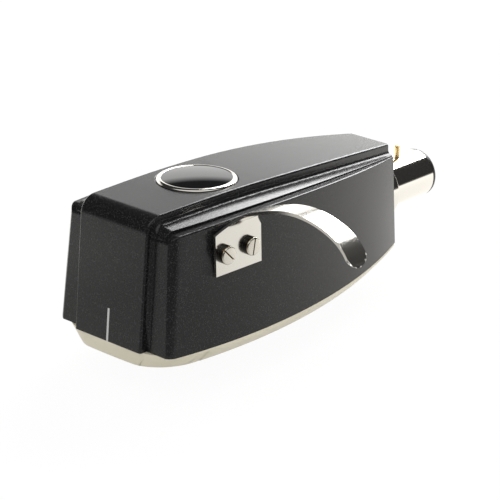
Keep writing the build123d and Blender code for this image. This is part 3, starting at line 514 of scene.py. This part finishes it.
def front_half_outline(level):
    points = []
    for step in range(BOW_STEPS):
        turn = math.radians(BOW_TURN * step / BOW_STEPS)
        out = Vector((math.sin(turn), -math.cos(turn), 0.0))
        points.append(ruling(BOW_HIGH + BOW_HIGH_RADIUS * out, BOW_LOW + BOW_LOW_RADIUS * out, level))
    for step in range(CORNER_STEPS + 1):
        turn = math.radians(BOW_TURN + (CORNER_TURN - BOW_TURN) * step / CORNER_STEPS)
        out = Vector((math.sin(turn), -math.cos(turn), 0.0))
        points.append(ruling(CORNER_HIGH + CORNER_RADIUS * out, CORNER_LOW + CORNER_RADIUS * out, level))
    points.append(Vector((CUT_FAR, CUT_SIDE_Y, level)))
    points.append(Vector((CUT_FAR, CUT_FAR, level)))
    return points


def front_outline(level):
    right = front_half_outline(level)
    left = [Vector((-point.x, point.y, point.z)) for point in right[:0:-1]]
    return right + left


def make_front_cut():
    high_outline = front_outline(CUT_TOP_Z)
    low_outline = front_outline(CUT_LOW_Z)
    bpy.ops.object.select_all(action="DESELECT")
    bpy.ops.mesh.primitive_cylinder_add(vertices=len(high_outline), radius=MM, depth=MM)
    front_cut = bpy.context.object
    high_corners = [vertex for vertex in front_cut.data.vertices if vertex.co.z > 0.0]
    low_corners = [vertex for vertex in front_cut.data.vertices if vertex.co.z < 0.0]
    for corners, outline in ((high_corners, high_outline), (low_corners, low_outline)):
        for vertex, point in zip(corners, outline):
            vertex.co = point * MM
    start_edit(front_cut)
    bpy.ops.mesh.quads_convert_to_tris()
    bpy.ops.mesh.normals_make_consistent(inside=False)
    bpy.ops.object.mode_set(mode="OBJECT")
    return front_cut


cover = merged_copy("bottom_cover", "cover_tray", flat_merge=0.0)
cut_with(cover, make_front_cut(), "INTERSECT")
start_edit(cover)
bpy.ops.mesh.remove_doubles(threshold=CUT_MERGE)
bpy.ops.mesh.dissolve_limited(angle_limit=math.radians(CUT_FLAT_MERGE))
bpy.ops.object.mode_set(mode="OBJECT")
even_shading(cover, DISHED)
stand_for(cover, "bottom_cover", ivory)

# Badge, a rolled rim round a low dome
BADGE_PLACE = Vector((0.0, -41.65, 12.7464)) * MM
BADGE_LEAN = math.asin(0.026375)
BADGE_UNDER = -0.4
RIM_SIDE = [(5.5, BADGE_UNDER), (6.1, BADGE_UNDER), (6.2, -0.3), (6.25, -0.12), (6.22, 0.05), (6.12, 0.19),
            (5.97, 0.29), (5.8, 0.34), (5.62, 0.34), (5.5, 0.3)]
DOME_EDGE = 0.29
DOME_RISE = 0.34
DOME_RADIUS = 5.48
DOME_STEPS = 12
badge_frame = Matrix.Translation(BADGE_PLACE) @ Matrix.Rotation(-BADGE_LEAN, 4, "X")
rim = turned("badge_bezel", RIM_SIDE, badge_frame)
even_shading(rim, ROUNDED)
stand_for(rim, "badge_rim", chrome)
dome_side = [(0.0, BADGE_UNDER), (DOME_RADIUS, BADGE_UNDER)]
for step in range(DOME_STEPS + 1):
    reach = DOME_RADIUS * (1.0 - step / DOME_STEPS)
    dome_side.append((reach, DOME_EDGE + DOME_RISE * (1.0 - (reach / DOME_RADIUS) ** 2)))
dome = turned("badge_lens", dome_side, badge_frame)
even_shading(dome, CRISP)
stand_for(dome, "badge_dome", dome_black)

# Plug, a plain barrel with a black ring on its end
PLUG_RADIUS = 4.0
PLUG_BORE = 3.2
SPIGOT_RADIUS = 3.8
COLLAR_RADIUS = 5.0
COLLAR_FRONT = -2.1
COLLAR_ROUND = 0.3
COLLAR_STEPS = 4
RING_FROM = 9.7
PLUG_END = 10.7
END_ROUND = 0.7
END_STEPS = 6
plug_frame = Matrix.Rotation(-math.pi / 2, 4, "X")
spigot_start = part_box("plug_sleeve")[0].y / MM
barrel_side = [(PLUG_BORE, spigot_start), (SPIGOT_RADIUS, spigot_start), (SPIGOT_RADIUS, COLLAR_FRONT),
               (COLLAR_RADIUS, COLLAR_FRONT)]
barrel_side += quarter_round((COLLAR_RADIUS - COLLAR_ROUND, -COLLAR_ROUND), COLLAR_ROUND, COLLAR_STEPS)
barrel_side += [(PLUG_RADIUS, 0.0), (PLUG_RADIUS, RING_FROM), (PLUG_BORE, RING_FROM)]
barrel = turned("plug_barrel", barrel_side, plug_frame)
even_shading(barrel, CRISP)
stand_for(barrel, "plug_sleeve", chrome)
ring_side = [(PLUG_BORE, RING_FROM), (PLUG_RADIUS, RING_FROM)]
ring_side += quarter_round((PLUG_RADIUS - END_ROUND, PLUG_END - END_ROUND), END_ROUND, END_STEPS)
ring_side.append((PLUG_BORE, PLUG_END))
end_ring = turned("plug_end_ring", ring_side, plug_frame)
even_shading(end_ring, ROUNDED)
end_ring.data.materials.append(ring_black)
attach(end_ring, "head")

# Lift screws, slotted heads on short shanks, with a painted dark reflection on their sides and painted brown
# shade in their slots
WALL_TURN = 0.035283
lift_out = Vector((1.0, -WALL_TURN, 0.0)).normalized()
lift_along = Vector((WALL_TURN, 1.0, 0.0)).normalized()
LIFT_SEAT = Vector((12.8781, -45.7, 5.5))
PLATE_FACE = 0.33
LIFT_FACE = LIFT_SEAT + PLATE_FACE * lift_out
UPRIGHT = Vector((0.0, 0.0, 1.0))
HEAD_RADIUS = 1.42
HEAD_HEIGHT = 1.05
HEAD_ROUND = 0.25
HEAD_STEPS = 4
SIDE_TOP = HEAD_HEIGHT - HEAD_ROUND
SHANK_RADIUS = 1.0
SCREW_STEPS = 48
SLOT_LENGTH = 4.0
SLOT_WIDTH = 0.24
SLOT_DEPTH = 0.42
SLOT_FLOOR_LOW = 0.4

# Each head's place along the plate and up it, and its slot's turn in degrees
HEAD_SPOTS = ((-3.3, 0.6, -47.0), (1.7, 0.6, 78.0))

# A face belongs to a side below the first share of the screw's axis, to a flat above the second
SIDE_SHARE = 0.3
FLAT_SHARE = 0.9
PAINTED_REFLECTION_INDEX = 1
PAINTED_SHADE_INDEX = 2
shank_end = (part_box("finger_lift_screws")[0].x / MM) - LIFT_FACE.x
head_side = [(0.0, shank_end), (SHANK_RADIUS, shank_end), (SHANK_RADIUS, 0.0), (HEAD_RADIUS, 0.0)]
head_side += quarter_round((HEAD_RADIUS - HEAD_ROUND, SIDE_TOP), HEAD_ROUND, HEAD_STEPS)
head_side.append((0.0, HEAD_HEIGHT))


def slotted_screw(name, along, up, slot_turn):
    middle = (LIFT_FACE + along * lift_along) * MM
    middle.z += up * MM
    turn = Matrix((lift_along, UPRIGHT, lift_out)).transposed().to_4x4()
    place = Matrix.Translation(middle) @ turn
    screw = turned(name, head_side, place, SCREW_STEPS)
    bpy.ops.object.select_all(action="DESELECT")
    bpy.ops.mesh.primitive_cube_add(size=1.0)
    cutter = bpy.context.object
    slot_way = Matrix.Rotation(math.radians(slot_turn), 4, "Z")
    on_head = Matrix.Translation((0.0, 0.0, HEAD_HEIGHT * MM))
    slot_size = Matrix.Diagonal((SLOT_LENGTH * MM, SLOT_WIDTH * MM, 2.0 * SLOT_DEPTH * MM, 1.0))
    cutter.matrix_world = place @ slot_way @ on_head @ slot_size
    bpy.ops.object.transform_apply(location=True, rotation=True, scale=True)
    cut_with(screw, cutter, "DIFFERENCE")
    even_shading(screw, CRISP)
    return screw


# Paints a dark reflection on the heads' sides, and brown shade on the walls and floors of their slots
def paint_screw_reflection_and_shade(screws):
    screws.data.materials.append(painted_side_reflection)
    screws.data.materials.append(painted_slot_shade)
    plate_level = LIFT_FACE.dot(lift_out)
    for face in screws.data.polygons:
        above = (face.center / MM).dot(lift_out) - plate_level
        facing = face.normal.dot(lift_out)
        if above > 0.0 and abs(facing) < SIDE_SHARE:
            face.material_index = PAINTED_REFLECTION_INDEX if above < SIDE_TOP else PAINTED_SHADE_INDEX
        # The slot floors get the painted shade too
        if SLOT_FLOOR_LOW < above < SIDE_TOP and facing > FLAT_SHARE:
            face.material_index = PAINTED_SHADE_INDEX


first_screw, second_screw = [slotted_screw("lift_screws", *spot) for spot in HEAD_SPOTS]
pick_only(first_screw)
second_screw.select_set(True)
bpy.ops.object.join()
stand_for(first_screw, "finger_lift_screws", pale_screw)
paint_screw_reflection_and_shade(first_screw)

# Studio: the camera sees the floor and the surroundings white, and reflections see them graded
WHITE = (1.0, 1.0, 1.0, 1.0)
FLOOR_SIDE = 8.0
FLOOR_Z = -0.0146
FLOOR_COLOUR = (0.9, 0.9, 0.9, 1.0)
FLOOR_TINT = (1.0, 0.985, 0.95, 1.0)
FLOOR_GLOW_SHARE = 0.95
FLOOR_DIM_AT = -0.125
FLOOR_BRIGHT_AT = 0.03
FLOOR_DIM = 0.15
FLOOR_BRIGHT = 1.25
FLOOR_LEAN = 0.6
FLOOR_LEFT_FROM = -0.062
FLOOR_LEFT_TO = -0.05
FLOOR_LEFT = 1.8
FLOOR_DARK_FROM = 0.12
FLOOR_DARK_TO = 0.2
FLOOR_DARK = 0.05
FILL = 0.95
WALL_TINT = (1.0, 0.995, 0.985, 1.0)
RING_TOP = 0.16
RING_SOFT = 0.05
RING_LEAN = 0.33
RING_LEVEL = 1.35
BEHIND_FROM = 0.5
BEHIND_TO = 1.0
ABOVE_FROM = 0.5
ABOVE_TO = 0.65
FRONT_FROM = -0.3
FRONT_TO = -0.1
FRONT_LEVEL = 0.9
DARK = 0.03
LAMP_PLACE = (-0.236, 0.76, 0.565)
LAMP_AIM = (0.0, -0.03, 0.0)
LAMP_SIZE = (0.67, 0.6)
LAMP_POWER = 11.5


def math_node(tree, operation, first, second):
    node = arithmetic(tree, operation)
    for socket, value in zip(node.inputs, (first, second)):
        if isinstance(value, float):
            socket.default_value = value
        else:
            tree.links.new(value, socket)
    return node.outputs["Value"]


def graded(tree, value, low, high, dim, bright):
    node = tree.nodes.new("ShaderNodeMapRange")
    node.inputs["From Min"].default_value = low
    node.inputs["From Max"].default_value = high
    node.inputs["To Min"].default_value = dim
    node.inputs["To Max"].default_value = bright
    tree.links.new(value, node.inputs["Value"])
    return node.outputs["Result"]


def axes_of(tree, kind):
    place = tree.nodes.new("ShaderNodeTexCoord")
    split = tree.nodes.new("ShaderNodeSeparateXYZ")
    tree.links.new(place.outputs[kind], split.inputs["Vector"])
    return split.outputs


def blended(tree, share, first, second):
    node = tree.nodes.new("ShaderNodeMixShader")
    tree.links.new(share, node.inputs["Fac"])
    tree.links.new(first, node.inputs[1])
    tree.links.new(second, node.inputs[2])
    return node.outputs["Shader"]


def background(tree, colour):
    node = tree.nodes.new("ShaderNodeBackground")
    node.inputs["Color"].default_value = colour
    return node


def floor_glow(tree, camera_ray):
    axes = axes_of(tree, "Object")
    depth = math_node(tree, "SUBTRACT", axes["Y"], math_node(tree, "MULTIPLY", axes["X"], FLOOR_LEAN))
    fall = graded(tree, depth, FLOOR_DIM_AT, FLOOR_BRIGHT_AT, FLOOR_DIM, FLOOR_BRIGHT)
    right = graded(tree, axes["X"], FLOOR_DARK_FROM, FLOOR_DARK_TO, 1.0, FLOOR_DARK)
    left = graded(tree, axes["X"], FLOOR_LEFT_FROM, FLOOR_LEFT_TO, FLOOR_LEFT, 1.0)
    shown = math_node(tree, "MULTIPLY", math_node(tree, "MULTIPLY", fall, right), left)
    unseen = math_node(tree, "SUBTRACT", 1.0, camera_ray)
    level = math_node(tree, "MAXIMUM", math_node(tree, "MULTIPLY", shown, unseen), camera_ray)
    tint = colour_mix(tree)
    tint.inputs["A"].default_value = FLOOR_TINT
    tint.inputs["B"].default_value = WHITE
    tree.links.new(camera_ray, tint.inputs["Factor"])
    glow = tree.nodes.new("ShaderNodeEmission")
    tree.links.new(level, glow.inputs["Strength"])
    tree.links.new(tint.outputs["Result"], glow.inputs["Color"])
    return glow.outputs["Emission"]


def add_floor():
    bpy.ops.object.select_all(action="DESELECT")
    bpy.ops.mesh.primitive_plane_add(size=FLOOR_SIDE, location=(0.0, 0.0, FLOOR_Z))
    floor = bpy.context.object
    floor.name = "studio_floor"
    material = bpy.data.materials.new("pale_floor")
    material.use_nodes = True
    tree = material.node_tree
    tree.nodes.clear()
    out = tree.nodes.new("ShaderNodeOutputMaterial")
    diffuse = tree.nodes.new("ShaderNodeBsdfDiffuse")
    diffuse.inputs["Color"].default_value = FLOOR_COLOUR
    rays = tree.nodes.new("ShaderNodeLightPath").outputs
    direct = math_node(tree, "MAXIMUM", rays["Is Camera Ray"], rays["Is Glossy Ray"])
    seen = math_node(tree, "MAXIMUM", direct, rays["Is Transmission Ray"])
    share = math_node(tree, "MULTIPLY", seen, FLOOR_GLOW_SHARE)
    glow = floor_glow(tree, rays["Is Camera Ray"])
    tree.links.new(blended(tree, share, diffuse.outputs["BSDF"], glow), out.inputs["Surface"])
    floor.data.materials.append(material)


def add_world():
    world = bpy.data.worlds.new("studio")
    world.use_nodes = True
    scene.world = world
    tree = world.node_tree
    tree.nodes.clear()
    out = tree.nodes.new("ShaderNodeOutputWorld")
    seen = background(tree, WHITE)
    fill = background(tree, (FILL, FILL, FILL, 1.0))
    wall = background(tree, WALL_TINT)
    rays = tree.nodes.new("ShaderNodeLightPath").outputs
    axes = axes_of(tree, "Generated")
    rise = math_node(tree, "ADD", axes["Z"], math_node(tree, "MULTIPLY", axes["X"], RING_LEAN))
    edge = graded(tree, rise, RING_TOP - RING_SOFT, RING_TOP + RING_SOFT, RING_LEVEL, 0.0)
    depth = math_node(tree, "SUBTRACT", axes["Y"], axes["X"])
    behind = graded(tree, depth, BEHIND_FROM, BEHIND_TO, 0.0, 1.0)
    above = graded(tree, axes["Z"], ABOVE_FROM, ABOVE_TO, 0.0, FRONT_LEVEL)
    before = graded(tree, depth, FRONT_FROM, FRONT_TO, 1.0, 0.0)
    front = math_node(tree, "MULTIPLY", above, before)
    ring = math_node(tree, "ADD", math_node(tree, "MULTIPLY", edge, behind), front)
    tree.links.new(math_node(tree, "ADD", ring, DARK), wall.inputs["Strength"])
    shiny = blended(tree, rays["Is Glossy Ray"], fill.outputs["Background"], wall.outputs["Background"])
    shown = blended(tree, rays["Is Camera Ray"], shiny, seen.outputs["Background"])
    tree.links.new(shown, out.inputs["Surface"])


def add_lamp(name, place, aim, size, power):
    lamp = bpy.data.lights.new(name, "AREA")
    lamp.shape = "RECTANGLE"
    lamp.size = size[0]
    lamp.size_y = size[1]
    lamp.energy = power
    holder = bpy.data.objects.new(name, lamp)
    scene.collection.objects.link(holder)
    way = Vector(aim) - Vector(place)
    holder.rotation_euler = way.to_track_quat("-Z", "Y").to_euler()
    holder.location = place


add_camera()
add_floor()
add_world()
add_lamp("rear_softbox", LAMP_PLACE, LAMP_AIM, LAMP_SIZE, LAMP_POWER)
